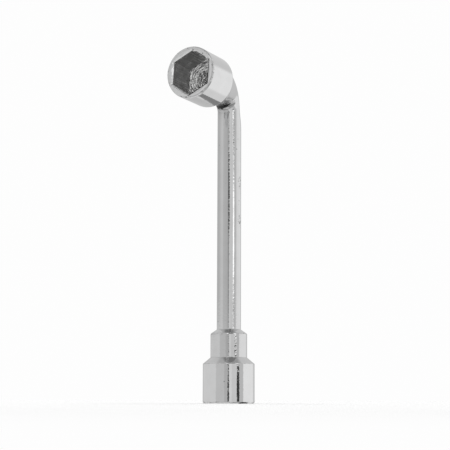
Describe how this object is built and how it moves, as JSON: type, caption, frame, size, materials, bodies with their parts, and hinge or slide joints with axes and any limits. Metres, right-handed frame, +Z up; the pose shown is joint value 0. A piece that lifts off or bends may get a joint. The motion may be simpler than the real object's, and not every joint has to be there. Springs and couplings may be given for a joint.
{
  "type": "angled tube wrench",
  "caption": "L-shaped chrome-plated socket wrench: round shank with a stepped hexagon socket on its long end and a hexagon socket turned square to it on a tapered elbow.",
  "frame": {"origin": "under the middle of the whole wrench, on the plane that the long end's mouth stands on", "axes": "+Z up along the shank from the long end's mouth, -Y the way the angled end's mouth looks, X across the bend"},
  "size_m": [0.0258, 0.0548, 0.1714],
  "materials": {
    "shank_chrome": "polished chromium plate with a slight waviness",
    "socket_chrome": "polished chromium plate, dull inside the hexagon",
    "weld_chrome": "weld metal dressed flush and chromium plated"
  },
  "bodies": {
    "root": {"bent_shank": "shank_chrome", "long_end_socket": "socket_chrome", "angled_end_socket": "socket_chrome", "long_end_weld_ring": "weld_chrome", "angled_end_weld_ring": "weld_chrome"}
  },
  "joints": []
}
